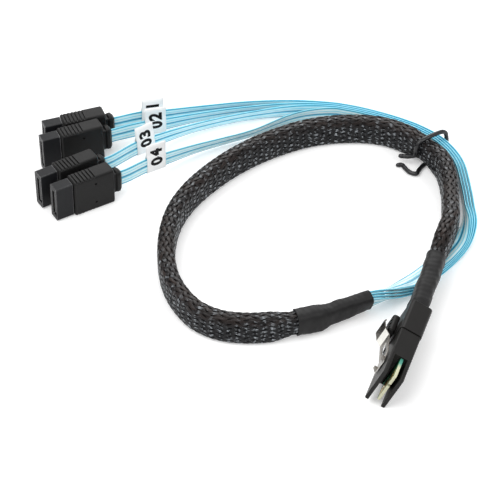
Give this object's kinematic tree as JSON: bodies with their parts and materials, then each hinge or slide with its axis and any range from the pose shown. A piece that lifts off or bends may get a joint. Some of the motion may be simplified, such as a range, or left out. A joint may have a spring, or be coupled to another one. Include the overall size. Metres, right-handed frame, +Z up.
{
  "type": "breakout cable",
  "caption": "Breakout cable: a wide latching board plug, a braided sleeve round flat blue ribbons with a wire tie, and small black drive plugs with paper flags.",
  "frame": {"origin": "middle of the cable's outline on the table, at the height of the table", "axes": "+Z up from the table that the coiled cable lies on; -Y towards the wide plug's nose; -X towards the drive plugs"},
  "size_m": [0.153, 0.158, 0.0164],
  "materials": {
    "black_moulding": "fine satin moulding",
    "heat_shrink": "matt shrunk tube",
    "braid": "glossy woven monofilament",
    "tie_coating": "satin coated wire",
    "ribbon_jacket": "glossy translucent jacket",
    "label_paper": "plain paper with a printed number",
    "spring_steel": "bright rolled sheet",
    "gold_contacts": "plated",
    "board": "lacquered laminate"
  },
  "bodies": {
    "cable": {"mini_sas_backshell": "black_moulding", "mini_sas_nose": "black_moulding", "paddle_card": "board", "latch_block": "black_moulding", "heat_shrink_plug_end": "heat_shrink", "heat_shrink_breakout_end": "heat_shrink", "braided_sleeve": "braid", "twist_tie": "tie_coating", "sata_1_mouth": "black_moulding", "sata_1_contacts": "gold_contacts", "sata_1_grip": "black_moulding", "ribbon_1": "ribbon_jacket", "label_1": "label_paper", "sata_2_mouth": "black_moulding", "sata_2_contacts": "gold_contacts", "sata_2_grip": "black_moulding", "ribbon_2": "ribbon_jacket", "label_2": "label_paper", "sata_3_mouth": "black_moulding", "sata_3_contacts": "gold_contacts", "sata_3_grip": "black_moulding", "ribbon_3": "ribbon_jacket", "label_3": "label_paper", "sata_4_mouth": "black_moulding", "sata_4_contacts": "gold_contacts", "sata_4_grip": "black_moulding", "ribbon_4": "ribbon_jacket", "label_4": "label_paper"},
    "latch": {"latch_spring": "spring_steel"}
  },
  "joints": [
    {"name": "latch_press", "type": "hinge", "parent": "cable", "child": "latch", "pos_m": [0.03876, -0.06881, 0.00976], "axis": [-0.3703, 0.1246, -0.9205], "range_deg": [0, 2.3], "stiffness_Nm_per_rad": 2.5}
  ]
}
